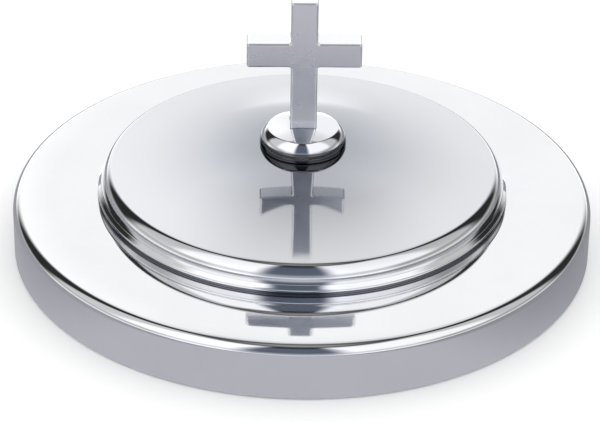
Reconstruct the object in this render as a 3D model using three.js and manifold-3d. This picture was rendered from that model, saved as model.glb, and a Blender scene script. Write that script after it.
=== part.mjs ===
// Covered bread paten: a spun plate that stands on a flat foot ring, under a lift-off cover
// with a raised, domed centre, a round knob and a standing cross.
// Millimetres, +Z up. The origin is the middle of the foot ring's underside.
import * as THREE from "three";
import { mergeVertices } from "three/addons/utils/BufferGeometryUtils.js";
import Module from "manifold-3d";

// ---- driving dimensions ----------------------------------------------------------------
const SHEET = 1.0; // thickness of the spun metal, plate and cover alike
const GAP = 0.3; // clearance kept between pieces that touch
const ROUND_STEPS = 56; // facets round the large spun pieces
const SMALL_STEPS = 28; // facets round the knob and the hardware

// Cover, from its skirt up to its dome.
const SKIRT_RADIUS = 157;
const SKIRT_BOTTOM = 0.8;
const HEM_HEIGHT = 6; // the skirt's lower edge is folded once to the inside
const RIM_FILLET = 6.5;
const FLANGE_TOP = 31.9;
const FLANGE_ROLL_START = 136.5; // radius where the flat flange begins to roll off
const FLANGE_ROLL_RADIUS = 165;
const LOWER_STEP_RADIUS = 111;
const UPPER_STEP_RADIUS = 109;
const LOWER_STEP_FILLET = 1.5;
const LOWER_STEP_TURN = 120; // degrees: the step curls under before it meets the flange
const SHOULDER_FILLET = 5;
const SHOULDER_TURN = 40; // degrees: where the shoulder's fillet gives way to the slower wall round
const WALL_ROUND = 11.1;
const SHOULDER_Z = 38.6; // height where the wall becomes upright
const FLANGE_COVE = 0.5;
const STEP_COVE = 0.6;
const STEP_COVE_Z = 38.5;
const LEDGE_SLOPE = 45; // degrees
const DOME_EDGE_SLOPE = 7.5; // degrees
const CROWN_RADIUS = 290; // radius of curvature of the dome's middle
const CROWN_REACH = 58; // distance from the axis where the crown meets the flared skirt of the dome
const COVER_HOLE = 3.3;

// Knob.
const KNOB_CROWN_RADIUS = 64;
const KNOB_TOP_Z = 74.0;
const KNOB_EDGE = 18.6; // distance from the axis where the crown turns into the rounded edge
const KNOB_EDGE_FILLET = 2;
const KNOB_EDGE_TURN = 40; // degrees: where the edge's fillet gives way to the slower side
const KNOB_SIDE_ROUND = 11.6;
const KNOB_FOOT_ROUND = 1.5;
const KNOB_FOOT_TURN = 132; // degrees: the foot curls under until it meets the dome
const KNOB_SEAT_INNER = 17.5;
const KNOB_SEAT_RISE = 0.35; // the seat follows the dome, so its inner edge is higher
const KNOB_RECESS_TAPER = 1;
const KNOB_RECESS_Z = 65;
const KNOB_BOSS_RADIUS = 8;
const KNOB_BOSS_LIFT = 0.9;
const POCKET_DEPTH = 2;

// Cross.
const CROSS_TOP_Z = 147.7;
const ARM_LOW_Z = 109.9;
const ARM_HIGH_Z = 123.8;
const CROSS_SPAN = 61;
const CROSS_BAR = 14.2;
const CROSS_THICKNESS = 13.8;
const CROSS_CHAMFER = 0.7;
const CROSS_TURN = 1.2; // degrees about the axis, as the cross was tightened

// Stud, washers and nut under the dome.
const STUD_RADIUS = 2.7;
const STUD_HOLE = 3.0;
const STUD_IN_CROSS = 14;
const STUD_BELOW_NUT = 2;
const TAP_RUNOUT = 1; // the cross's hole is drilled this much deeper than the stud goes
const FLAT_WASHER = { radius: 9, thickness: 1.4 };
const LOCK_WASHER = { radius: 5.9, thickness: 1.6, split: 1.2 };
const NUT = { acrossFlats: 10, height: 5 };

// Bread plate.
const WELL_FLOOR_Z = 3.0; // upper surface of the well's floor
const FOOT_INNER = 86;
const FOOT_OUTER = 95;
const FOOT_FILLET = 2;
const WELL_FILLET = 6;
const WALL_SLOPE = 64; // degrees
const PLATE_RIM_Z = 28.6; // upper surface of the plate's flat rim
const PLATE_RIM_FILLET = 3;
const BEAD_RADIUS = 2;
const BEAD_CENTRE = 149.5;
const BEAD_Z = 28.1;

// ---- outlines --------------------------------------------------------------------------
const radians = (degrees) => (degrees * Math.PI) / 180;
const sin = (degrees) => Math.sin(radians(degrees));
const cos = (degrees) => Math.cos(radians(degrees));

// A point of a spun surface: distance from the axis, height, and the unit normal of the outer side.
const point = (r, z, slope) => ({ r, z, nr: sin(slope), nz: cos(slope) });

// A round stretch between two slopes, in degrees below the horizontal. `bend` is 1 where the
// surface is convex on its outer side and -1 where it is hollow.
function bendFrom(start, radius, fromSlope, toSlope, bend, steps) {
  const centreR = start.r - bend * radius * sin(fromSlope);
  const centreZ = start.z - bend * radius * cos(fromSlope);
  return Array.from({ length: steps + 1 }, (_, i) => {
    const slope = fromSlope + ((toSlope - fromSlope) * i) / steps;
    return point(centreR + bend * radius * sin(slope), centreZ + bend * radius * cos(slope), slope);
  });
}

const last = (list) => list[list.length - 1];
const offset = (p, distance) => [p.r - p.nr * distance, p.z - p.nz * distance];

// ---- solids ----------------------------------------------------------------------------
const wasm = await Module();
wasm.setup();

// Spins a closed outline of [r, z] pairs, listed anticlockwise, into a closed geometry.
function spin(outline, steps) {
  const points = [...outline, outline[0]].map(([r, z]) => new THREE.Vector2(r, z));
  return new THREE.LatheGeometry(points, steps).rotateX(Math.PI / 2);
}

function toSolid(geometry) {
  const bare = geometry.index ? geometry.toNonIndexed() : geometry.clone();
  bare.deleteAttribute("normal");
  bare.deleteAttribute("uv");
  const merged = mergeVertices(bare, 1e-4);
  const vertProperties = new Float32Array(merged.attributes.position.array);
  const triVerts = new Uint32Array(merged.index.array);
  return new wasm.Manifold(new wasm.Mesh({ numProp: 3, vertProperties, triVerts }));
}

function toGeometry(solid) {
  const mesh = solid.getMesh();
  const geometry = new THREE.BufferGeometry();
  geometry.setAttribute("position", new THREE.BufferAttribute(mesh.vertProperties, 3));
  geometry.setIndex(new THREE.BufferAttribute(mesh.triVerts, 1));
  geometry.computeVertexNormals();
  return geometry;
}

const rod = (radius, lowZ, highZ, steps) =>
  spin([[0, lowZ], [radius, lowZ], [radius, highZ], [0, highZ]], steps);

const ring = (inner, outer, lowZ, highZ, steps) =>
  spin([[inner, lowZ], [outer, lowZ], [outer, highZ], [inner, highZ]], steps);

// ---- cover shell -----------------------------------------------------------------------
// The outer side of the cover, from the hole in the dome down to the skirt.
function coverOuter() {
  const crownSlope = (r) => (Math.asin(r / CROWN_RADIUS) * 180) / Math.PI;
  const crownEdgeSlope = crownSlope(CROWN_REACH);
  const shoulderR = UPPER_STEP_RADIUS - WALL_ROUND * (1 - sin(SHOULDER_TURN));
  const shoulderZ = SHOULDER_Z + WALL_ROUND * cos(SHOULDER_TURN);
  const domeEdge = shoulderR - SHOULDER_FILLET * (sin(SHOULDER_TURN) - sin(DOME_EDGE_SLOPE));
  const domeEdgeZ = shoulderZ + SHOULDER_FILLET * (cos(DOME_EDGE_SLOPE) - cos(SHOULDER_TURN));
  const flareRadius = (domeEdge - CROWN_REACH) / (sin(crownEdgeSlope) - sin(DOME_EDGE_SLOPE));
  const crownEdgeZ = domeEdgeZ + flareRadius * (cos(DOME_EDGE_SLOPE) - cos(crownEdgeSlope));
  const apexZ = crownEdgeZ + CROWN_RADIUS * (1 - cos(crownEdgeSlope));
  const holeSlope = crownSlope(COVER_HOLE);
  const holeEdge = point(COVER_HOLE, apexZ - CROWN_RADIUS * (1 - cos(holeSlope)), holeSlope);

  const crown = bendFrom(holeEdge, CROWN_RADIUS, holeSlope, crownEdgeSlope, 1, 5);
  const flare = bendFrom(last(crown), flareRadius, crownEdgeSlope, DOME_EDGE_SLOPE, -1, 4);
  const shoulder = bendFrom(last(flare), SHOULDER_FILLET, DOME_EDGE_SLOPE, SHOULDER_TURN, 1, 3);
  const wallRound = bendFrom(last(shoulder), WALL_ROUND, SHOULDER_TURN, 90, 1, 3);
  const coveTop = point(UPPER_STEP_RADIUS, STEP_COVE_Z, 90);
  const stepCove = bendFrom(coveTop, STEP_COVE, 90, LEDGE_SLOPE, -1, 2);
  const ledgeEnd = LOWER_STEP_RADIUS - LOWER_STEP_FILLET * (1 - sin(LEDGE_SLOPE));
  const ledgeDrop = (ledgeEnd - last(stepCove).r) * Math.tan(radians(LEDGE_SLOPE));
  const ledge = point(ledgeEnd, last(stepCove).z - ledgeDrop, LEDGE_SLOPE);
  const lowerStep = bendFrom(ledge, LOWER_STEP_FILLET, LEDGE_SLOPE, LOWER_STEP_TURN, 1, 4);
  const stepFoot = last(lowerStep);
  const coveZ = FLANGE_TOP + FLANGE_COVE * (1 - cos(LOWER_STEP_TURN));
  const coveR = stepFoot.r + (stepFoot.z - coveZ) / Math.tan(radians(LOWER_STEP_TURN));
  const flangeCoveTop = point(coveR, coveZ, LOWER_STEP_TURN);
  const flangeCove = bendFrom(flangeCoveTop, FLANGE_COVE, LOWER_STEP_TURN, 0, -1, 3);

  // The flange is flat, then rolls off gently until the rim's fillet takes over.
  const rollSine = (SKIRT_RADIUS - RIM_FILLET - FLANGE_ROLL_START) / (FLANGE_ROLL_RADIUS - RIM_FILLET);
  const rollSlope = (Math.asin(rollSine) * 180) / Math.PI;
  const rollStart = point(FLANGE_ROLL_START, FLANGE_TOP, 0);
  const roll = bendFrom(rollStart, FLANGE_ROLL_RADIUS, 0, rollSlope, 1, 2);
  const rim = bendFrom(last(roll), RIM_FILLET, rollSlope, 90, 1, 5);
  const skirtEnd = point(SKIRT_RADIUS, SKIRT_BOTTOM, 90);
  return [
    ...crown, ...flare.slice(1), ...shoulder.slice(1), ...wallRound.slice(1), ...stepCove,
    ...lowerStep, ...flangeCove, ...roll, ...rim.slice(1), skirtEnd,
  ];
}

function coverShell() {
  const outer = coverOuter();
  const hemTop = SKIRT_BOTTOM + HEM_HEIGHT;
  const hemInner = SKIRT_RADIUS - 2 * SHEET;
  const hem = [[hemInner, SKIRT_BOTTOM], [hemInner, hemTop], [SKIRT_RADIUS - SHEET, hemTop + SHEET]];
  const outside = outer.map((p) => offset(p, 0));
  const inside = outer.slice(0, -1).map((p) => offset(p, SHEET)).reverse();
  return spin([...outside, ...hem, ...inside].reverse(), ROUND_STEPS);
}

// ---- knob ------------------------------------------------------------------------------
const POCKET_FLOOR_Z = KNOB_TOP_Z - POCKET_DEPTH;

function knob() {
  const edgeSlope = (Math.asin(KNOB_EDGE / KNOB_CROWN_RADIUS) * 180) / Math.PI;
  const top = point(0, KNOB_TOP_Z, 0);
  const crown = bendFrom(top, KNOB_CROWN_RADIUS, 0, edgeSlope, 1, 4);
  const edge = bendFrom(last(crown), KNOB_EDGE_FILLET, edgeSlope, KNOB_EDGE_TURN, 1, 3);
  const side = bendFrom(last(edge), KNOB_SIDE_ROUND, KNOB_EDGE_TURN, 90, 1, 4);
  const foot = bendFrom(last(side), KNOB_FOOT_ROUND, 90, KNOB_FOOT_TURN, 1, 2);
  const baseZ = last(foot).z;
  const bossZ = baseZ + KNOB_BOSS_LIFT;
  const under = [
    [KNOB_SEAT_INNER, baseZ + KNOB_SEAT_RISE],
    [KNOB_SEAT_INNER - KNOB_RECESS_TAPER, KNOB_RECESS_Z],
    [KNOB_BOSS_RADIUS, KNOB_RECESS_Z],
    [KNOB_BOSS_RADIUS, bossZ],
    [0, bossZ],
  ];
  const skin = [...crown, ...edge.slice(1), ...side.slice(1), ...foot.slice(1)];
  const outside = skin.map((p) => offset(p, 0));
  const blank = toSolid(spin([...outside, ...under].reverse(), 2 * SMALL_STEPS));
  const pocketBox = new THREE.BoxGeometry(
    CROSS_BAR + 2 * GAP, CROSS_THICKNESS + 2 * GAP, 2 * POCKET_DEPTH,
  );
  pocketBox.translate(0, 0, KNOB_TOP_Z).rotateZ(radians(CROSS_TURN));
  const bore = toSolid(rod(STUD_HOLE, baseZ, KNOB_TOP_Z, SMALL_STEPS));
  return toGeometry(blank.subtract(toSolid(pocketBox)).subtract(bore));
}

// ---- cross -----------------------------------------------------------------------------
function cross() {
  const half = CROSS_BAR / 2 - CROSS_CHAMFER;
  const arm = CROSS_SPAN / 2 - CROSS_CHAMFER;
  const foot = POCKET_FLOOR_Z + GAP + CROSS_CHAMFER;
  const armLow = ARM_LOW_Z + CROSS_CHAMFER;
  const armHigh = ARM_HIGH_Z - CROSS_CHAMFER;
  const top = CROSS_TOP_Z - CROSS_CHAMFER;
  const corners = [
    [-half, foot], [half, foot], [half, armLow], [arm, armLow], [arm, armHigh], [half, armHigh],
    [half, top], [-half, top], [-half, armHigh], [-arm, armHigh], [-arm, armLow], [-half, armLow],
  ];
  const shape = new THREE.Shape(corners.map(([x, z]) => new THREE.Vector2(x, z)));
  const depth = CROSS_THICKNESS - 2 * CROSS_CHAMFER;
  const body = new THREE.ExtrudeGeometry(shape, {
    depth,
    bevelEnabled: true,
    bevelSize: CROSS_CHAMFER,
    bevelThickness: CROSS_CHAMFER,
    bevelSegments: 1,
  });
  body.translate(0, 0, -depth / 2).rotateX(Math.PI / 2).rotateZ(radians(CROSS_TURN));
  const holeTop = POCKET_FLOOR_Z + STUD_IN_CROSS + TAP_RUNOUT;
  const hole = toSolid(rod(STUD_HOLE, POCKET_FLOOR_Z, holeTop, SMALL_STEPS));
  return toGeometry(toSolid(body).subtract(hole));
}

// ---- stud, washers and nut -------------------------------------------------------------
const DOME_UNDERSIDE_Z = offset(coverOuter()[0], SHEET)[1];
const FLAT_WASHER_TOP = DOME_UNDERSIDE_Z - 2 * GAP;
const LOCK_WASHER_TOP = FLAT_WASHER_TOP - FLAT_WASHER.thickness - GAP;
const NUT_TOP = LOCK_WASHER_TOP - LOCK_WASHER.thickness - GAP;
const NUT_BOTTOM = NUT_TOP - NUT.height;

const stud = () =>
  rod(STUD_RADIUS, NUT_BOTTOM - STUD_BELOW_NUT, POCKET_FLOOR_Z + STUD_IN_CROSS, SMALL_STEPS);

const flatWasher = () =>
  ring(STUD_HOLE, FLAT_WASHER.radius, FLAT_WASHER_TOP - FLAT_WASHER.thickness, FLAT_WASHER_TOP, SMALL_STEPS);

function lockWasher() {
  const { radius, thickness, split } = LOCK_WASHER;
  const whole = toSolid(ring(STUD_HOLE, radius, LOCK_WASHER_TOP - thickness, LOCK_WASHER_TOP, SMALL_STEPS));
  const cut = new THREE.BoxGeometry(2 * radius, split, 2 * thickness);
  cut.translate(radius, 0, LOCK_WASHER_TOP - thickness / 2);
  return toGeometry(whole.subtract(toSolid(cut)));
}

function hexNut() {
  const corner = NUT.acrossFlats / 2 / cos(30);
  const hexagon = new THREE.CylinderGeometry(corner, corner, NUT.height, 6).rotateX(Math.PI / 2);
  hexagon.translate(0, 0, NUT_TOP - NUT.height / 2);
  const flat = NUT.acrossFlats / 2;
  const bevel = corner - flat;
  const chamfered = spin(
    [
      [0, NUT_BOTTOM], [flat, NUT_BOTTOM], [corner, NUT_BOTTOM + bevel / 2],
      [corner, NUT_TOP - bevel / 2], [flat, NUT_TOP], [0, NUT_TOP],
    ],
    SMALL_STEPS,
  );
  const hole = toSolid(rod(STUD_HOLE, NUT_BOTTOM - GAP, NUT_TOP + GAP, SMALL_STEPS));
  return toGeometry(toSolid(hexagon).intersect(toSolid(chamfered)).subtract(hole));
}

// ---- bread plate -----------------------------------------------------------------------
// The upper side of the plate, from the middle of the well out to the rolled edge.
function plateUpper() {
  const footTop = SHEET;
  const dropSlope = 45; // degrees
  const floorEdge = point(FOOT_INNER - 2 * FOOT_FILLET * sin(dropSlope), WELL_FLOOR_Z, 0);
  const floorRound = bendFrom(floorEdge, FOOT_FILLET, 0, dropSlope, 1, 2);
  const straightDrop = WELL_FLOOR_Z - footTop - 2 * FOOT_FILLET * (1 - cos(dropSlope));
  const footIn = point(last(floorRound).r + straightDrop, last(floorRound).z - straightDrop, dropSlope);
  const footRound = bendFrom(footIn, FOOT_FILLET, dropSlope, 0, -1, 2);
  const footOut = point(FOOT_OUTER, footTop, 0);
  const wallFoot = bendFrom(footOut, WELL_FILLET, 0, -WALL_SLOPE, -1, 3);
  const turnHeight = PLATE_RIM_FILLET * (1 - cos(WALL_SLOPE));
  const wallRise = PLATE_RIM_Z - turnHeight - last(wallFoot).z;
  const wallTopR = last(wallFoot).r + wallRise / Math.tan(radians(WALL_SLOPE));
  const wallTop = point(wallTopR, last(wallFoot).z + wallRise, -WALL_SLOPE);
  const rimRound = bendFrom(wallTop, PLATE_RIM_FILLET, -WALL_SLOPE, 0, 1, 3);
  return [point(0, WELL_FLOOR_Z, 0), ...floorRound, ...footRound, ...wallFoot, ...rimRound];
}

function breadPlate() {
  const upper = plateUpper();
  const beadHalf = (Math.asin(SHEET / 2 / BEAD_RADIUS) * 180) / Math.PI;
  const beadSteps = 9;
  const bead = Array.from({ length: beadSteps + 1 }, (_, i) => {
    const turn = 180 - beadHalf - (i * (360 - 2 * beadHalf)) / beadSteps;
    return [BEAD_CENTRE + BEAD_RADIUS * cos(turn), BEAD_Z + BEAD_RADIUS * sin(turn)];
  });
  const top = upper.map((p) => offset(p, 0));
  const underside = upper.map((p) => offset(p, SHEET)).reverse();
  return spin([...top, ...bead, ...underside].reverse(), ROUND_STEPS);
}

// ---- assembly --------------------------------------------------------------------------
const mirrorSteel = { color: 0xdfe2e8, roughness: 0.08, metalness: 1 };
const plainSteel = { color: 0xb4b6ba, roughness: 0.35, metalness: 1 };

const pieces = [
  ["cover_shell", coverShell(), mirrorSteel],
  ["knob", knob(), mirrorSteel],
  ["cross", cross(), mirrorSteel],
  ["cross_stud", stud(), plainSteel],
  ["flat_washer", flatWasher(), plainSteel],
  ["lock_washer", lockWasher(), plainSteel],
  ["hex_nut", hexNut(), plainSteel],
  ["bread_plate", breadPlate(), mirrorSteel],
];

const paten = new THREE.Group();
for (const [name, geometry, finish] of pieces) {
  const mesh = new THREE.Mesh(geometry, new THREE.MeshStandardMaterial(finish));
  mesh.name = name;
  paten.add(mesh);
}

export default paten;
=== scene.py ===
"""Looks of a covered bread paten: mirror-polished spun cover with a knob and a cross, on its plate.

Blender 4.5, metres, +Z up. Every piece sits where its CAD solid is and stands for it. Outlines of
the spun pieces are written in millimetres and turned into metres when a mesh is made.
"""

import math

import bmesh
import bpy
import numpy as np
from mathutils import Matrix, Vector


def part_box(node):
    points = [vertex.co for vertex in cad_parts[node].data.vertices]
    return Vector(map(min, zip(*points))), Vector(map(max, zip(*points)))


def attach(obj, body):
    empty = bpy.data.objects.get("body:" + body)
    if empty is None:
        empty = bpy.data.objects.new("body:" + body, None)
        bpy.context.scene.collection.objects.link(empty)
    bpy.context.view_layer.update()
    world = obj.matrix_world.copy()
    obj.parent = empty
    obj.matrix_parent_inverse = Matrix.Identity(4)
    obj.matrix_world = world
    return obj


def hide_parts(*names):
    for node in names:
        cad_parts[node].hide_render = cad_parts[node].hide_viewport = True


MM = 0.001
AROUND = 240  # points round each spun piece, a multiple of 8
FINE_TURN = 3.5  # degrees turned between two rings of a fillet

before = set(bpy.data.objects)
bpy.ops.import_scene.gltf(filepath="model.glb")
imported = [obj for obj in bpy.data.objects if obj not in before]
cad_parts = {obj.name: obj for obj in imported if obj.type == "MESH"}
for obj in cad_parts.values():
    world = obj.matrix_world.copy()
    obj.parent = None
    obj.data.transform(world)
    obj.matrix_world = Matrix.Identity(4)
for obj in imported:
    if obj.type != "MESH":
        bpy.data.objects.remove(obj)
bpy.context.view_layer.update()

# ---- sizes read from the frame, in millimetres -------------------------------------------


def millimetres(node):
    low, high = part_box(node)
    return low / MM, high / MM


shell_low, shell_high = millimetres("cover_shell")
cross_low, cross_high = millimetres("cross")
stud_low, stud_high = millimetres("cross_stud")
flat_low, flat_high = millimetres("flat_washer")
lock_low, lock_high = millimetres("lock_washer")
nut_low, nut_high = millimetres("hex_nut")
_, plate_high = millimetres("bread_plate")

# ---- sizes of the shapes, in millimetres -------------------------------------------------

SHEET = 1.0  # thickness of both spun sheets

SKIRT_RADIUS = shell_high.x
SKIRT_BOTTOM = shell_low.z
HEM_HEIGHT = 6  # of the fold inside the skirt
RIM_FILLET = 6.5
FLANGE_TOP = 31.9
FLANGE_ROLL_START = 136.5
FLANGE_ROLL_RADIUS = 165
LOWER_STEP_RADIUS = 111
UPPER_STEP_RADIUS = 109
LOWER_STEP_FILLET = 1.5
LOWER_STEP_TURN = 120  # degrees: the step curls under before it meets the flange
SHOULDER_FILLET = 5
SHOULDER_TURN = 40  # degrees: the slope where the tight round gives way to the slow one
WALL_ROUND = 11.1
SHOULDER_Z = 38.6
FLANGE_COVE = 0.5
STEP_COVE = 0.6
STEP_COVE_Z = 38.5
LEDGE_SLOPE = 45
DOME_EDGE_SLOPE = 7.5
CROWN_RADIUS = 290
CROWN_REACH = 58  # the dome is round to here and hollow from here to its edge
COVER_HOLE = 3.3

KNOB_CROWN_RADIUS = 64
KNOB_TOP_Z = 74.0
KNOB_EDGE = 18.6
KNOB_EDGE_FILLET = 2
KNOB_EDGE_TURN = 40
KNOB_SIDE_ROUND = 11.6
KNOB_FOOT_ROUND = 1.5
KNOB_FOOT_TURN = 132
KNOB_SEAT_INNER = 17.5
KNOB_BOSS_RADIUS = 8
KNOB_RECESS_Z = 65
KNOB_SEAT_RISE = 0.35
KNOB_RECESS_TAPER = 1
KNOB_BOSS_LIFT = 1
POCKET_GAP = 0.3
POCKET_FLOOR_Z = KNOB_TOP_Z - 2

ARM_LOW_Z = 109.9
ARM_HIGH_Z = 123.8
CROSS_SPAN = 61
CROSS_BAR = 14.2
CROSS_THICKNESS = 13.8
CROSS_ROUND = 1.3
CROSS_TURN = math.radians(1.2)

STUD_HOLE = 3.0
THREAD_PITCH = 0.9
THREAD_DEPTH = 0.5
THREAD_STEEPNESS = 2.6
THREAD_ROOT = 0.6
THREAD_SHARP = 35  # degrees between two faces that make an edge
WASHER_EDGE = 0.25
LOCK_EDGE = 0.18
LOCK_GAP = math.radians(13)
LOCK_SLANT = math.radians(9)
LOCK_SHARP = 30
NUT_CHAMFER = math.radians(30)
NUT_FACE = 0.96  # share of the flat that the end face reaches
NUT_LEAD = 0.5
NUT_SHARP = 20

WELL_FLOOR_Z = 3.0
FOOT_INNER = 86
FOOT_OUTER = 95
FOOT_FILLET = 2
WELL_FILLET = 6
WALL_SLOPE = 64
PLATE_RIM_Z = 28.6
PLATE_RIM_FILLET = 3
BEAD_RADIUS = 2
BEAD_CENTRE = plate_high.x - BEAD_RADIUS
BEAD_Z = plate_high.z - BEAD_RADIUS


# ---- camera ------------------------------------------------------------------------------

CAMERA_TARGET = Vector((0, 0, 0.0108))
CAMERA_DISTANCE = 1.569
CAMERA_ELEVATION = math.radians(30.746)
CAMERA_ROLL = math.radians(0.893)
CAMERA_LENS = 171.7
CAMERA_SHIFT = (-0.0027, 0.0195)


def add_camera():
    data = bpy.data.cameras.new("camera")
    data.sensor_width = 36
    data.lens = CAMERA_LENS
    data.shift_x, data.shift_y = CAMERA_SHIFT
    data.clip_start = 0.05
    data.clip_end = 50
    camera = bpy.data.objects.new("camera", data)
    back = Vector((0, -math.cos(CAMERA_ELEVATION), math.sin(CAMERA_ELEVATION)))
    turn = back.to_track_quat("Z", "Y").to_matrix() @ Matrix.Rotation(CAMERA_ROLL, 3, "Z")
    camera.matrix_world = Matrix.Translation(CAMERA_TARGET + back * CAMERA_DISTANCE) @ turn.to_4x4()
    bpy.context.scene.collection.objects.link(camera)
    bpy.context.scene.camera = camera


# ---- spun outlines -----------------------------------------------------------------------
# A point of an outline is (distance from the axis, height, slope). The slope is that of the
# surface in degrees below the horizontal, and its normal leans outwards by that angle. Outlines
# run outwards over the top and back inwards underneath, so the metal is always on the right.


def sine(degrees):
    return math.sin(math.radians(degrees))


def cosine(degrees):
    return math.cos(math.radians(degrees))


def bend(start, radius, end_slope, hollow=False, turn=FINE_TURN):
    """A round stretch from start to end_slope; hollow puts its centre on the open side."""
    r, z, slope = start
    side = -radius if hollow else radius
    centre_r, centre_z = r - side * sine(slope), z - side * cosine(slope)
    steps = max(2, math.ceil(abs(end_slope - slope) / turn))
    slopes = [slope + (end_slope - slope) * i / steps for i in range(steps + 1)]
    return [(centre_r + side * sine(s), centre_z + side * cosine(s), s) for s in slopes]


def inner_side(outline, distance=SHEET):
    """The other side of a sheet, walked backwards."""
    back = [(r - distance * sine(s), z - distance * cosine(s), s + 180) for r, z, s in outline]
    return back[::-1]


def straight(start, end):
    """A straight strip from start to end, each a distance and a height."""
    slope = math.degrees(math.atan2(start[1] - end[1], end[0] - start[0]))
    return [(*start[:2], slope), (*end[:2], slope)]


# ---- mesh making -------------------------------------------------------------------------

TURNS = np.arange(AROUND) * 2 * math.pi / AROUND


def ring(r, z, slope):
    """One ring of a spun surface: its points and their normals."""
    circle = np.stack([np.cos(TURNS), np.sin(TURNS)], 1)
    points = np.column_stack([circle * r, np.full(AROUND, z)])
    normals = np.column_stack([circle * sine(slope), np.full(AROUND, cosine(slope))])
    return points, normals


def new_object(name, mesh, material, body, nodes):
    """A piece that rides on a body and stands for CAD nodes."""
    mesh.materials.clear()
    mesh.materials.append(material)
    piece = bpy.data.objects.new(name, mesh)
    bpy.context.scene.collection.objects.link(piece)
    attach(piece, body)
    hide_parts(*nodes)
    return piece


def loft(name, strips, closed=True):
    """A mesh through rings of points. Each strip is smooth, and two strips meet in a crease."""
    points, faces, normals = [], [], []

    def add_ring(places):
        first = len(points)
        if np.ptp(places, axis=0).max() < 1e-9:
            points.append(places[0])
            return [first] * AROUND
        points.extend(places)
        return list(range(first, first + AROUND))

    first_ring = add_ring(strips[0][0][0])
    previous = first_ring
    for number, strip in enumerate(strips):
        is_last = closed and number == len(strips) - 1
        for i in range(1, len(strip)):
            ends_here = is_last and i == len(strip) - 1
            following = first_ring if ends_here else add_ring(strip[i][0])
            for j in range(AROUND):
                k = (j + 1) % AROUND
                corners = [
                    (previous[j], strip[i - 1][1][j]), (following[j], strip[i][1][j]),
                    (following[k], strip[i][1][k]), (previous[k], strip[i - 1][1][k]),
                ]
                corners = [c for n, c in enumerate(corners) if c[0] != corners[n - 1][0]]
                faces.append([c[0] for c in corners])
                normals.extend(c[1] for c in corners)
            previous = following
    mesh = bpy.data.meshes.new(name)
    mesh.from_pydata([tuple(p) for p in np.array(points) * MM], [], faces)
    mesh.shade_smooth()
    mesh.normals_split_custom_set([tuple(n) for n in normals])
    return mesh


def spin(name, strips, closed=True):
    """A mesh spun round the Z axis from strips of outline points."""
    return loft(name, [[ring(*p) for p in strip] for strip in strips], closed)


# ---- cover shell -------------------------------------------------------------------------


def cover_outer():
    """The outer side of the cover, from the hole in the dome down to the skirt's hem."""
    crown_edge_slope = math.degrees(math.asin(CROWN_REACH / CROWN_RADIUS))
    shoulder_r = UPPER_STEP_RADIUS - WALL_ROUND * (1 - sine(SHOULDER_TURN))
    shoulder_z = SHOULDER_Z + WALL_ROUND * cosine(SHOULDER_TURN)
    dome_edge = shoulder_r - SHOULDER_FILLET * (sine(SHOULDER_TURN) - sine(DOME_EDGE_SLOPE))
    dome_edge_z = shoulder_z + SHOULDER_FILLET * (cosine(DOME_EDGE_SLOPE) - cosine(SHOULDER_TURN))
    flare_radius = (dome_edge - CROWN_REACH) / (sine(crown_edge_slope) - sine(DOME_EDGE_SLOPE))
    crown_edge_z = dome_edge_z + flare_radius * (cosine(DOME_EDGE_SLOPE) - cosine(crown_edge_slope))
    apex_z = crown_edge_z + CROWN_RADIUS * (1 - cosine(crown_edge_slope))
    hole_slope = math.degrees(math.asin(COVER_HOLE / CROWN_RADIUS))
    hole_edge = (COVER_HOLE, apex_z - CROWN_RADIUS * (1 - cosine(hole_slope)), hole_slope)

    crown = bend(hole_edge, CROWN_RADIUS, crown_edge_slope, turn=1)
    flare = bend(crown[-1], flare_radius, DOME_EDGE_SLOPE, hollow=True, turn=0.4)
    shoulder = bend(flare[-1], SHOULDER_FILLET, SHOULDER_TURN)
    wall_round = bend(shoulder[-1], WALL_ROUND, 90)
    step_cove = bend((UPPER_STEP_RADIUS, STEP_COVE_Z, 90), STEP_COVE, LEDGE_SLOPE, hollow=True, turn=8)
    ledge_end = LOWER_STEP_RADIUS - LOWER_STEP_FILLET * (1 - sine(LEDGE_SLOPE))
    ledge_drop = (ledge_end - step_cove[-1][0]) * math.tan(math.radians(LEDGE_SLOPE))
    ledge = (ledge_end, step_cove[-1][1] - ledge_drop, LEDGE_SLOPE)
    lower_step = bend(ledge, LOWER_STEP_FILLET, LOWER_STEP_TURN, turn=5)
    step_foot, step_foot_z, _ = lower_step[-1]
    cove_z = FLANGE_TOP + FLANGE_COVE * (1 - cosine(LOWER_STEP_TURN))
    cove_r = step_foot + (step_foot_z - cove_z) / math.tan(math.radians(LOWER_STEP_TURN))
    flange_cove = bend((cove_r, cove_z, LOWER_STEP_TURN), FLANGE_COVE, 0, hollow=True, turn=10)
    roll_reach = SKIRT_RADIUS - RIM_FILLET - FLANGE_ROLL_START
    roll_slope = math.degrees(math.asin(roll_reach / (FLANGE_ROLL_RADIUS - RIM_FILLET)))
    roll = bend((FLANGE_ROLL_START, FLANGE_TOP, 0), FLANGE_ROLL_RADIUS, roll_slope, turn=1)
    rim = bend(roll[-1], RIM_FILLET, 90)
    skirt_end = (SKIRT_RADIUS, SKIRT_BOTTOM + SHEET, 90)
    return [
        *crown, *flare[1:], *shoulder[1:], *wall_round[1:], *step_cove, *lower_step,
        *flange_cove, *roll, *rim[1:], skirt_end,
    ]


def cover_shell(material):
    outer = cover_outer()
    fold = bend(outer[-1], SHEET, 270, turn=15)
    hem_top = SKIRT_BOTTOM + HEM_HEIGHT
    hem_edge = straight((fold[-1][0], hem_top), (SKIRT_RADIUS - SHEET, hem_top))
    inner = inner_side(outer[:-1])
    inner_skirt = [(SKIRT_RADIUS - SHEET, hem_top, 270), *inner]
    hole = [(*inner[-1][:2], 270), (*outer[0][:2], 270)]
    strips = [[*outer, *fold[1:], (fold[-1][0], hem_top, 270)], hem_edge, inner_skirt, hole]
    mesh = spin("shell_spun", strips)
    return new_object("shell_spun", mesh, material, "cover", ["cover_shell"])


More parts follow.
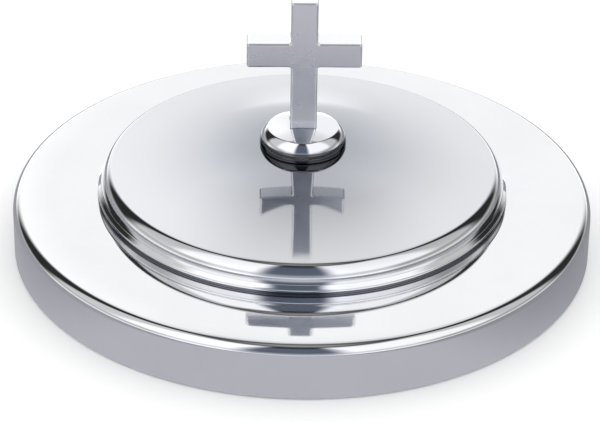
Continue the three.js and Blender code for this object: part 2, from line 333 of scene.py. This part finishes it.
# ---- knob --------------------------------------------------------------------------------


def square_ring(half_x, half_y, z_of, normal_of):
    """A ring that follows a rectangle turned with the cross."""
    eighth = AROUND // 8
    side = np.arange(-eighth, eighth) / eighth
    right = np.column_stack([np.full(2 * eighth, half_x), side * half_y])
    back = np.column_stack([-side * half_x, np.full(2 * eighth, half_y)])
    flat = np.roll(np.vstack([right, back, -right, -back]), -eighth, axis=0)
    return lifted(flat, z_of, normal_of)


def lifted(flat, z_of, normal_of):
    """Gives plan points their heights and normals."""
    reach = np.hypot(flat[:, 0], flat[:, 1])
    points = np.column_stack([flat, z_of(reach)])
    return points, normal_of(points)


def turned(rings):
    """The same rings turned to the cross's angle."""
    turn = np.array(Matrix.Rotation(CROSS_TURN, 3, "Z"))
    return [(points @ turn.T, normals @ turn.T) for points, normals in rings]


def blend_rings(first, second, steps, z_of, normal_of):
    """Rings that pass from one outline to another."""
    rings = []
    for i in range(steps + 1):
        share = i / steps
        flat = first[0][:, :2] * (1 - share) + second[0][:, :2] * share
        rings.append(lifted(flat, z_of, normal_of))
    return rings


def level(z):
    return lambda reach: np.full(len(reach), z)


def upright(points):
    return np.tile([0.0, 0.0, 1.0], (len(points), 1))


def knob(material):
    centre = np.array([0, 0, KNOB_TOP_Z - KNOB_CROWN_RADIUS])

    def crown_z(reach):
        return centre[2] + np.sqrt(KNOB_CROWN_RADIUS**2 - reach**2)

    def crown_normal(points):
        return (points - centre) / KNOB_CROWN_RADIUS

    half_x, half_y = CROSS_BAR / 2 + POCKET_GAP, CROSS_THICKNESS / 2 + POCKET_GAP
    pocket_edge = square_ring(half_x, half_y, crown_z, crown_normal)
    pocket_foot = square_ring(half_x, half_y, level(POCKET_FLOOR_Z), upright)
    edge_slope = math.degrees(math.asin(KNOB_EDGE / KNOB_CROWN_RADIUS))
    crown_edge = (KNOB_EDGE, float(crown_z(np.array([KNOB_EDGE]))[0]), edge_slope)
    crown = blend_rings(pocket_edge, ring(*crown_edge), 16, crown_z, crown_normal)
    edge = bend(crown_edge, KNOB_EDGE_FILLET, KNOB_EDGE_TURN, turn=3)
    side = edge + bend(edge[-1], KNOB_SIDE_ROUND, 90, turn=2)[1:]
    side += bend(side[-1], KNOB_FOOT_ROUND, KNOB_FOOT_TURN, turn=5)[1:]
    seat_z = side[-1][1]
    recess = KNOB_SEAT_INNER - KNOB_RECESS_TAPER
    boss_z = seat_z + KNOB_BOSS_LIFT
    walk = [
        side[-1], (KNOB_SEAT_INNER, seat_z + KNOB_SEAT_RISE), (recess, KNOB_RECESS_Z),
        (KNOB_BOSS_RADIUS, KNOB_RECESS_Z), (KNOB_BOSS_RADIUS, boss_z), (STUD_HOLE, boss_z),
        (STUD_HOLE, POCKET_FLOOR_Z),
    ]
    under = [straight(start, end) for start, end in zip(walk, walk[1:])]
    floor_start = ring(STUD_HOLE, POCKET_FLOOR_Z, 0)
    floor = blend_rings(floor_start, pocket_foot, 3, level(POCKET_FLOOR_Z), upright)
    along_x, along_y = np.array([-1.0, 0, 0]), np.array([0, -1.0, 0])
    wall_normals = np.zeros((AROUND, 3))
    for j in range(AROUND):
        across = abs(pocket_foot[0][j][0]) >= half_x - 1e-6
        inward = pocket_foot[0][j] * (along_x if across else along_y)
        wall_normals[j] = inward / np.linalg.norm(inward)
    walls = [(pocket_foot[0], wall_normals), (pocket_edge[0], wall_normals)]
    strips = [
        turned(crown + [ring(*p) for p in side[1:]]),
        *[turned([ring(*p) for p in strip]) for strip in under],
        turned(floor),
        turned(walls),
    ]
    mesh = loft("knob_turned", strips)
    return new_object("knob_turned", mesh, material, "cover", ["knob"])


# ---- cross -------------------------------------------------------------------------------


def rounded(mesh, width, segments, sharp):
    """The mesh with its edges rounded and its faces kept flat between them."""
    holder = bpy.data.objects.new("holder", mesh)
    bpy.context.scene.collection.objects.link(holder)
    bevel = holder.modifiers.new("round", "BEVEL")
    bevel.width = width * MM
    bevel.segments = segments
    bevel.limit_method = "ANGLE"
    bevel.angle_limit = math.radians(sharp)
    bevel.harden_normals = True
    bevel.miter_outer = "MITER_ARC"
    depsgraph = bpy.context.evaluated_depsgraph_get()
    made = bpy.data.meshes.new_from_object(holder.evaluated_get(depsgraph))
    bpy.data.objects.remove(holder)
    return made


def extruded(name, outline, low, high):
    """A closed prism: outline in the X-Z plane, from y = low to y = high, all in millimetres."""
    bm = bmesh.new()
    front = [bm.verts.new((x * MM, low * MM, z * MM)) for x, z in outline]
    face = bm.faces.new(front)
    grown = bmesh.ops.extrude_face_region(bm, geom=[face])
    moved = [v for v in grown["geom"] if isinstance(v, bmesh.types.BMVert)]
    bmesh.ops.translate(bm, vec=(0, (high - low) * MM, 0), verts=moved)
    bmesh.ops.recalc_face_normals(bm, faces=bm.faces)
    mesh = bpy.data.meshes.new(name)
    bm.to_mesh(mesh)
    bm.free()
    mesh.shade_smooth()
    return mesh


def cross(material):
    bar, arm = CROSS_BAR / 2, CROSS_SPAN / 2
    foot, top = cross_low.z, cross_high.z
    outline = [
        (-bar, foot), (bar, foot), (bar, ARM_LOW_Z), (arm, ARM_LOW_Z), (arm, ARM_HIGH_Z),
        (bar, ARM_HIGH_Z), (bar, top), (-bar, top), (-bar, ARM_HIGH_Z), (-arm, ARM_HIGH_Z),
        (-arm, ARM_LOW_Z), (-bar, ARM_LOW_Z),
    ]
    half = CROSS_THICKNESS / 2
    mesh = rounded(extruded("cross_block", outline, -half, half), CROSS_ROUND, segments=5, sharp=30)
    mesh.transform(Matrix.Rotation(CROSS_TURN, 4, "Z"))
    return new_object("cross_polished", mesh, material, "cover", ["cross"])


# ---- stud, washers and nut ---------------------------------------------------------------


def smooth_by_angle(mesh, degrees):
    mesh.shade_smooth()
    mesh.set_sharp_from_angle(angle=math.radians(degrees))


def grid_mesh(name, rows, ends="fan"):
    """A closed mesh through rows of points; the two ends are closed by fans or left to meet."""
    count, around = len(rows), len(rows[0])
    points = [p for row in rows for p in row]
    faces = []
    for i in range(count - 1 if ends == "fan" else count):
        low, high = i * around, ((i + 1) % count) * around
        for j in range(around):
            k = (j + 1) % around
            faces.append((low + j, low + k, high + k, high + j))
    if ends == "fan":
        faces.append(tuple(range(around))[::-1])
        faces.append(tuple((count - 1) * around + j for j in range(around)))
    mesh = bpy.data.meshes.new(name)
    mesh.from_pydata([tuple(np.array(p) * MM) for p in points], [], faces)
    mesh.validate()
    return mesh


def stud(material):
    """A threaded rod whose thread runs out towards both ends."""
    around, per_pitch = 40, 10
    radius = stud_high.x
    rows = []
    count = int((stud_high.z - stud_low.z) / THREAD_PITCH * per_pitch)
    for i in range(count + 1):
        z = stud_low.z + (stud_high.z - stud_low.z) * i / count
        end = min(z - stud_low.z, stud_high.z - z)
        row = []
        for j in range(around):
            angle = 2 * math.pi * j / around
            turn = ((z / THREAD_PITCH) - j / around) % 1
            flank = min(1, max(0, THREAD_STEEPNESS * abs(2 * turn - 1) - THREAD_ROOT))
            reach = min(radius - THREAD_DEPTH * (1 - flank), radius - THREAD_DEPTH + end)
            row.append((reach * math.cos(angle), reach * math.sin(angle), z))
        rows.append(row)
    mesh = grid_mesh("stud_threaded", rows)
    smooth_by_angle(mesh, THREAD_SHARP)
    return new_object("stud_threaded", mesh, material, "cover", ["cross_stud"])


def flat_washer(material):
    edge = WASHER_EDGE
    inner, outer = STUD_HOLE, flat_high.x
    low, high = flat_low.z, flat_high.z
    rim = [(inner + edge, high, 0), *bend((outer - edge, high, 0), edge, 90, turn=15)]
    rim += bend((outer, low + edge, 90), edge, 180, turn=15)
    rim += bend((inner + edge, low, 180), edge, 270, turn=15)
    rim += bend((inner, high - edge, 270), edge, 360, turn=15)
    mesh = spin("washer_flat", [rim])
    return new_object("washer_flat", mesh, material, "cover", ["flat_washer"])


def lock_washer(material):
    """A strip coiled once: a trapezoid section whose two cut ends are slanted and slightly apart."""
    steps = 150
    inner, outer = STUD_HOLE, lock_high.x
    low, high, edge = lock_low.z, lock_high.z, LOCK_EDGE
    section = [
        (inner, low + edge, 0), (inner + edge, low, 0),
        (outer - edge, low, 0), (outer, low + edge, 0),
        (outer, high - edge, 1), (outer - edge, high, 1),
        (inner + edge, high, 1), (inner, high - edge, 1),
    ]
    rows = []
    for i in range(steps + 1):
        row = []
        for r, z, upper in section:
            angle = LOCK_GAP / 2 + (2 * math.pi - LOCK_GAP) * i / steps + LOCK_SLANT * (upper - 0.5)
            row.append((r * math.cos(angle), r * math.sin(angle), z))
        rows.append(row[::-1])
    mesh = grid_mesh("washer_split", rows)
    smooth_by_angle(mesh, LOCK_SHARP)
    return new_object("washer_split", mesh, material, "cover", ["lock_washer"])


def hex_nut(material):
    """Six flats whose corners are turned off at both ends, round a plain hole."""
    around, side_edge, face_drop = 96, 0.3, 0.02
    flat, low, high, lead = nut_high.y, nut_low.z, nut_high.z, NUT_LEAD
    rows = [[] for _ in range(10)]
    for j in range(around):
        angle = 2 * math.pi * j / around
        off_flat = (angle % (math.pi / 3)) - math.pi / 6
        side = flat / math.cos(off_flat)
        drop = (side - flat) * math.tan(NUT_CHAMFER) + face_drop
        reaches = [
            (STUD_HOLE, low + lead), (STUD_HOLE + lead, low), (flat * NUT_FACE, low),
            (side, low + drop), (side, low + drop + side_edge),
            (side, high - drop - side_edge), (side, high - drop),
            (flat * NUT_FACE, high), (STUD_HOLE + lead, high), (STUD_HOLE, high - lead),
        ]
        for row, (reach, z) in zip(rows, reaches):
            row.append((reach * math.cos(angle), reach * math.sin(angle), z))
    mesh = grid_mesh("nut_hex", rows, ends="meet")
    smooth_by_angle(mesh, NUT_SHARP)
    return new_object("nut_hex", mesh, material, "cover", ["hex_nut"])


# ---- bread plate -------------------------------------------------------------------------


def plate_upper():
    """The upper side of the plate, from the middle of the well to the start of its flat rim."""
    drop_slope, foot_turn = 45, 6
    floor_edge = (FOOT_INNER - 2 * FOOT_FILLET * sine(drop_slope), WELL_FLOOR_Z, 0)
    floor_round = bend(floor_edge, FOOT_FILLET, drop_slope, turn=foot_turn)
    fall = WELL_FLOOR_Z - SHEET - 2 * FOOT_FILLET * (1 - cosine(drop_slope))
    foot_in = (floor_round[-1][0] + fall, floor_round[-1][1] - fall, drop_slope)
    foot_round = bend(foot_in, FOOT_FILLET, 0, hollow=True, turn=foot_turn)
    wall_foot = bend((FOOT_OUTER, SHEET, 0), WELL_FILLET, -WALL_SLOPE, hollow=True)
    wall_rise = PLATE_RIM_Z - PLATE_RIM_FILLET * (1 - cosine(WALL_SLOPE)) - wall_foot[-1][1]
    wall_top_r = wall_foot[-1][0] + wall_rise / math.tan(math.radians(WALL_SLOPE))
    wall_top = (wall_top_r, wall_foot[-1][1] + wall_rise, -WALL_SLOPE)
    rim_round = bend(wall_top, PLATE_RIM_FILLET, 0)
    return [(0, WELL_FLOOR_Z, 0), *floor_round, *foot_round, *wall_foot, *rim_round]


def bread_plate(material):
    """The plate's upper side, its rolled edge, and the underside back to the middle."""
    upper = plate_upper()
    half = math.degrees(math.asin(SHEET / 2 / BEAD_RADIUS))
    turns = np.linspace(half - 90, 270 - half, 64)
    bead = [(BEAD_CENTRE + BEAD_RADIUS * sine(s), BEAD_Z + BEAD_RADIUS * cosine(s), s) for s in turns]
    strips = [
        [*upper, (bead[0][0], PLATE_RIM_Z, 0)],
        bead,
        [(bead[-1][0], PLATE_RIM_Z - SHEET, 180), *inner_side(upper)],
    ]
    mesh = spin("plate_spun", strips, closed=False)
    return new_object("plate_spun", mesh, material, "paten", ["bread_plate"])


# ---- materials ---------------------------------------------------------------------------

# how finely each kind of mark is spread, per metre
LATHE_SCALE = 900.0
CLOUD_SCALE = 24.0
WAVE_SCALE = 14.0
SCRATCH_SCALE = (40.0, 2600.0, 2600.0)
SCRATCH_TURN = (0.3, 0.5, 0.9)

# what full marks add to roughness, and to the bump's height
LATHE_ROUGH = 0.04
SCRATCH_ROUGH = 0.12
LATHE_DEPTH = 0.012
SCRATCH_DEPTH = 0.01
BUMP_STRENGTH = 0.5
BUMP_DISTANCE = 0.0002

PATCH_SPREAD = 0.03  # how much darker the metal is in its darkest patches
# painted shade: the dome darker and bluer towards its middle, above a height, in patches
DOME_SHADE_LOW_Z = 44.0  # millimetres: no painted shade below this height, and full painted shade above the next
DOME_SHADE_HIGH_Z = 47.5
DOME_SHADE_LEFT = 0.25  # share of the painted shade left at its outer radius
DOME_SHADE_PATCHES = (0.94, 1.06)
DOME_SHADE_TINT = (0.98, 1.04, 1.15)
# painted shade in the crease where the lower step meets the flange
CREASE_SHADE_COLOUR = (0.16, 0.17, 0.19)
CREASE_SHADE_SOFT_R = 0.4  # millimetres over which the painted crease shade fades outwards
CREASE_SHADE_SOFT_Z = 0.3  # and upwards
# painted shade on the knob's lower part, where it meets the dome
BASE_SHADE_TINT = (1.0, 1.0, 1.05)
BASE_SHADE_SOFT_Z = 0.4


class Nodes:
    """Short ways to add and join the nodes of one tree."""

    def __init__(self, tree):
        self.tree = tree

    def add(self, kind, **settings):
        node = self.tree.nodes.new("ShaderNode" + kind)
        for name, value in settings.items():
            setattr(node, name, value)
        return node

    def put(self, node, **inputs):
        for name, value in inputs.items():
            self.wire(value, node.inputs[name.replace("_", " ")])
        return node

    def wire(self, value, socket):
        if isinstance(value, bpy.types.NodeSocket):
            self.tree.links.new(value, socket)
        else:
            socket.default_value = value

    def math(self, operation, first, second=0.0, third=0.0, clamp=False):
        node = self.add("Math", operation=operation, use_clamp=clamp)
        for value, socket in zip((first, second, third), node.inputs):
            self.wire(value, socket)
        return node.outputs[0]

    def smooth(self, value, low, high, to_low=0.0, to_high=1.0):
        node = self.add("MapRange", interpolation_type="SMOOTHSTEP")
        parts = (value, low, high, to_low, to_high)
        for part, name in zip(parts, ("Value", "From Min", "From Max", "To Min", "To Max")):
            self.wire(part, node.inputs[name])
        return node.outputs[0]

    def step(self, value, edge, softness, before=0.0, after=1.0):
        """Passes from before to after where value, in metres, crosses edge, in millimetres."""
        return self.smooth(value, (edge - softness) * MM, (edge + softness) * MM, before, after)

    def noise(self, vector, scale, detail=2.0, rough=0.5):
        node = self.add("TexNoise")
        self.put(node, Vector=vector, Scale=scale, Detail=detail, Roughness=rough)
        return node.outputs["Fac"]

    def mixed(self, share, first, second):
        """A colour that goes from first to second as share goes from 0 to 1."""
        node = self.add("Mix", data_type="RGBA")
        self.wire(share, node.inputs["Factor"])
        for colour, side in ((first, "A"), (second, "B")):
            is_socket = isinstance(colour, bpy.types.NodeSocket)
            self.wire(colour if is_socket else (*colour, 1), node.inputs[side])
        return node.outputs["Result"]

    def split(self, vector):
        node = self.add("SeparateXYZ")
        self.wire(vector, node.inputs[0])
        return node.outputs

    def scaled(self, vector, factor):
        node = self.add("VectorMath", operation="SCALE")
        self.wire(vector, node.inputs[0])
        self.wire(factor, node.inputs["Scale"])
        return node.outputs[0]


def marked(n, shade, reach, z, cloud, painted_dome_shade, painted_crease_shade, painted_base_shade):
    """The metal's colour with painted shade on the dome, in a crease and on the lower part."""
    # painted shade: darker and bluer towards the dome's middle
    if painted_dome_shade:
        inner, outer, dome_shade_tone = painted_dome_shade
        near = n.smooth(reach, inner * MM, outer * MM, 1.0, DOME_SHADE_LEFT)
        near = n.math("MULTIPLY", near, n.smooth(z, DOME_SHADE_LOW_Z * MM, DOME_SHADE_HIGH_Z * MM))
        near = n.math("MULTIPLY", near, n.smooth(cloud, 0.1, 0.9, *DOME_SHADE_PATCHES))
        shade = n.mixed(near, shade, [dome_shade_tone * c for c in DOME_SHADE_TINT])
    # painted shade: dark inside a radius and below a height, in the crease
    if painted_crease_shade:
        crease_r, crease_z = painted_crease_shade
        inside = n.step(reach, crease_r, CREASE_SHADE_SOFT_R, 1.0, 0.0)
        inside = n.math("MULTIPLY", inside, n.step(z, crease_z, CREASE_SHADE_SOFT_Z, 1.0, 0.0))
        shade = n.mixed(inside, shade, CREASE_SHADE_COLOUR)
    # painted shade: dark below a height
    if painted_base_shade:
        low, dark = painted_base_shade
        above = n.step(z, low, BASE_SHADE_SOFT_Z)
        shade = n.mixed(above, [dark * c for c in BASE_SHADE_TINT], shade)
    return shade


def metal(
    name, colour, roughness, spin_marks, scratches, waviness, painted_dome_shade=None, painted_crease_shade=None, painted_base_shade=None
):
    """Polished metal: faint rings from the lathe, fine scratches, and a slight waviness.

    The last three arguments are painted shade: on the dome, an inner and an outer radius and a tone;
    in a crease, a radius and a height; on the lower part, a height and a tone. Sizes are in
    millimetres.
    """
    material = bpy.data.materials.new(name)
    material.use_nodes = True
    tree = material.node_tree
    tree.nodes.clear()
    n = Nodes(tree)
    place = n.add("TexCoord").outputs["Object"]
    x, y, z = n.split(place)
    reach = n.math("SQRT", n.math("ADD", n.math("MULTIPLY", x, x), n.math("MULTIPLY", y, y)))

    lathe_place = n.add("CombineXYZ")
    n.put(lathe_place, X=reach, Y=z, Z=0.0)
    lathe_marks = n.noise(lathe_place.outputs[0], LATHE_SCALE, 3.0, 0.6)
    stretch = n.add("Mapping")
    n.put(stretch, Vector=place, Rotation=SCRATCH_TURN, Scale=SCRATCH_SCALE)
    scratch = n.smooth(n.noise(stretch.outputs[0], 1.0), 0.66, 0.78)
    cloud = n.noise(place, CLOUD_SCALE, 4.0, 0.6)
    wave = n.noise(place, WAVE_SCALE, 1.0)

    patchy = n.mixed(n.smooth(cloud, 0.3, 0.7), [c * (1 - PATCH_SPREAD) for c in colour], colour)
    shade = marked(n, patchy, reach, z, cloud, painted_dome_shade, painted_crease_shade, painted_base_shade)

    rough = n.smooth(cloud, 0.25, 0.75, roughness * 0.85, roughness * 1.2)
    rough = n.math("ADD", rough, n.math("MULTIPLY", lathe_marks, spin_marks * LATHE_ROUGH))
    rough = n.math("ADD", rough, n.math("MULTIPLY", scratch, scratches * SCRATCH_ROUGH), clamp=True)

    height = n.math("MULTIPLY", wave, waviness)
    height = n.math("ADD", height, n.math("MULTIPLY", lathe_marks, spin_marks * LATHE_DEPTH))
    height = n.math("SUBTRACT", height, n.math("MULTIPLY", scratch, scratches * SCRATCH_DEPTH))
    bump = n.add("Bump")
    n.put(bump, Height=height, Strength=BUMP_STRENGTH, Distance=BUMP_DISTANCE)

    shader = n.add("BsdfPrincipled")
    n.put(shader, Base_Color=shade, Metallic=1.0, Roughness=rough, Normal=bump.outputs[0])
    output = n.add("OutputMaterial")
    n.wire(shader.outputs[0], output.inputs["Surface"])
    return material


# ---- studio ------------------------------------------------------------------------------

FLOOR_RADIUS = 6.0
FLOOR_TONE = (0.9, 0.9, 0.9)
MIRRORED_FLOOR_TONE = (0.395, 0.395, 0.434)
# painted shadow and light on the mirrored floor: where its brightness changes along X, in metres,
# and from what to what
MIRRORED_LEFT_SHADOW = (-0.19, -0.11, 0.78, 1.08)
MIRRORED_RIGHT_SHADOW = (0.09, 0.18, 1.0, 0.6)


def add_floor(name, tone, painted_shadow=False):
    """A round pale floor just under the object, with painted shadow and light along X if wanted."""
    bm = bmesh.new()
    bmesh.ops.create_circle(bm, cap_ends=True, segments=96, radius=FLOOR_RADIUS)
    mesh = bpy.data.meshes.new(name)
    bm.to_mesh(mesh)
    bm.free()
    floor = bpy.data.objects.new(name, mesh)
    bpy.context.scene.collection.objects.link(floor)
    material = bpy.data.materials.new(name)
    material.use_nodes = True
    shader = material.node_tree.nodes["Principled BSDF"]
    shader.inputs["Base Color"].default_value = (*tone, 1)
    shader.inputs["Roughness"].default_value = 0.9
    shader.inputs["Specular IOR Level"].default_value = 0.0
    if painted_shadow:
        n = Nodes(material.node_tree)
        x = n.split(n.add("TexCoord").outputs["Object"])[0]
        # painted shadow and light: the mirrored floor dimmer and brighter along X
        bright = n.math("MULTIPLY", n.smooth(x, *MIRRORED_LEFT_SHADOW), n.smooth(x, *MIRRORED_RIGHT_SHADOW))
        n.wire(n.scaled(tone, bright), shader.inputs["Base Color"])
    mesh.materials.append(material)
    return floor


def window(n, value, low, high, soft):
    """One between low and high, fading to nothing over soft at both ends.

    value is in radians, and the other three are in degrees.
    """
    half = soft / 2
    rise = n.smooth(value, math.radians(low - half), math.radians(low + half))
    fall = n.smooth(value, math.radians(high - half), math.radians(high + half), 1.0, 0.0)
    return n.math("MULTIPLY", rise, fall)


def panel_light(n, azimuth, elevation, middle, half_width, low, high, soft, strength, tint):
    """Light of one large far panel, as a row of PANELS states it."""
    off = n.math("WRAP", n.math("SUBTRACT", azimuth, math.radians(middle)), math.pi, -math.pi)
    across = window(n, off, -half_width, half_width, soft)
    lit = n.math("MULTIPLY", across, window(n, elevation, low, high, soft))
    return n.scaled(tuple(strength * c for c in tint), lit)


NEUTRAL = (1.0, 1.0, 1.01)
COOL = (0.92, 0.98, 1.08)
SLATE = (0.8, 1.0, 1.45)
# Each panel: middle azimuth, half width, lowest and highest elevation and softness of the edge, all
# in degrees, then strength and tint. Azimuth 0 is straight behind the object, and 90 is +X.
PANELS = [
    # behind
    (0, 37, -30, 67, 18, 0.755, NEUTRAL),
    # overhead, all the way round
    (0, 190, 79, 120, 16, 0.27, NEUTRAL),
    # behind: two that brighten parts of the first
    (-24, 14, -10, 60, 14, 0.12, NEUTRAL),
    (0, 30, -30, 46, 16, 0.24, NEUTRAL),
    # left
    (-115, 42, 18, 72, 10, 0.62, NEUTRAL),
    (-132, 26, 20, 70, 14, 0.5, NEUTRAL),
    (-115, 42, -20, 18, 14, 0.5, NEUTRAL),
    # right
    (117, 47, 18, 71, 10, 0.55, NEUTRAL),
    (132, 31, 20, 70, 14, 0.48, NEUTRAL),
    (117, 47, -20, 18, 14, 0.36, NEUTRAL),
    # in front, dim
    (180, 50, -20, 18, 16, 0.3, COOL),
    (180, 25, 10, 62, 16, 0.1, SLATE),
]
AMBIENT = 0.025
HORIZON = 0.42
HORIZON_FADE = (math.radians(3), math.radians(11))
PLAIN_LIGHT = 1.25


def add_world():
    """Mirror rays see the panels, and everything else is lit by plain white light."""
    world = bpy.data.worlds.new("studio")
    world.use_nodes = True
    tree = world.node_tree
    tree.nodes.clear()
    n = Nodes(tree)
    x, y, z = n.split(n.add("TexCoord").outputs["Generated"])
    azimuth = n.math("ARCTAN2", x, y)
    elevation = n.math("ARCSINE", z)
    grey = n.smooth(elevation, *HORIZON_FADE, HORIZON, AMBIENT)
    unlit = n.add("CombineXYZ")
    n.put(unlit, X=grey, Y=grey, Z=grey)
    total = unlit.outputs[0]
    for panel in PANELS:
        node = n.add("VectorMath", operation="ADD")
        n.wire(total, node.inputs[0])
        n.wire(panel_light(n, azimuth, elevation, *panel), node.inputs[1])
        total = node.outputs[0]
    rays = n.add("LightPath")
    mirrored = n.add("Background")
    n.wire(total, mirrored.inputs["Color"])
    plain = n.add("Background")
    plain.inputs["Color"].default_value = (1, 1, 1, 1)
    plain.inputs["Strength"].default_value = PLAIN_LIGHT
    mix = n.add("MixShader")
    n.wire(rays.outputs["Is Glossy Ray"], mix.inputs[0])
    n.wire(plain.outputs[0], mix.inputs[1])
    n.wire(mirrored.outputs[0], mix.inputs[2])
    output = n.add("OutputWorld")
    n.wire(mix.outputs[0], output.inputs["Surface"])
    bpy.context.scene.world = world


def add_studio():
    """A floor that the camera sees, another that the metal mirrors, and the panels."""
    seen_floor = add_floor("floor", FLOOR_TONE)
    seen_floor.visible_glossy = False
    # the mirrored floor has painted shadow and light along X
    mirrored_floor = add_floor("floor_in_mirror", MIRRORED_FLOOR_TONE, painted_shadow=True)
    mirrored_floor.visible_camera = False
    mirrored_floor.visible_diffuse = False
    mirrored_floor.visible_shadow = False
    add_world()
    bpy.context.scene.view_settings.view_transform = "Standard"


# ---- build -------------------------------------------------------------------------------

add_camera()
mirror_metal = metal(
    "mirror_metal", (0.9, 0.905, 0.92), roughness=0.04, spin_marks=0.5, scratches=0.5, waviness=0.4,
    painted_dome_shade=(0, 105, 0.36), painted_crease_shade=(111.0, 32.6),
# painted shade: dome darker and bluer towards its middle, dark in the step's crease
)
knob_metal = metal(
    "knob_metal", (0.88, 0.89, 0.92), roughness=0.04, spin_marks=0.5, scratches=0.5, waviness=0.2,
    # painted shade on the knob below 66.3 mm, where it meets the dome
    painted_base_shade=(66.3, 0.13),
)
cross_metal = metal(
    "cross_metal", (0.96, 0.965, 0.985), roughness=0.27, spin_marks=0.0, scratches=0.7, waviness=1.0,
)
plate_metal = metal(
    "plate_metal", (0.84, 0.85, 0.87), roughness=0.12, spin_marks=1.0, scratches=1.0, waviness=0.5,
)
hardware_metal = metal(
    "hardware_metal", (0.62, 0.63, 0.65), roughness=0.3, spin_marks=0.6, scratches=1.0, waviness=0.5,
)
cover_shell(mirror_metal)
knob(knob_metal)
cross(cross_metal)
stud(hardware_metal)
flat_washer(hardware_metal)
lock_washer(hardware_metal)
hex_nut(hardware_metal)
bread_plate(plate_metal)
add_studio()

bpy.context.view_layer.update()
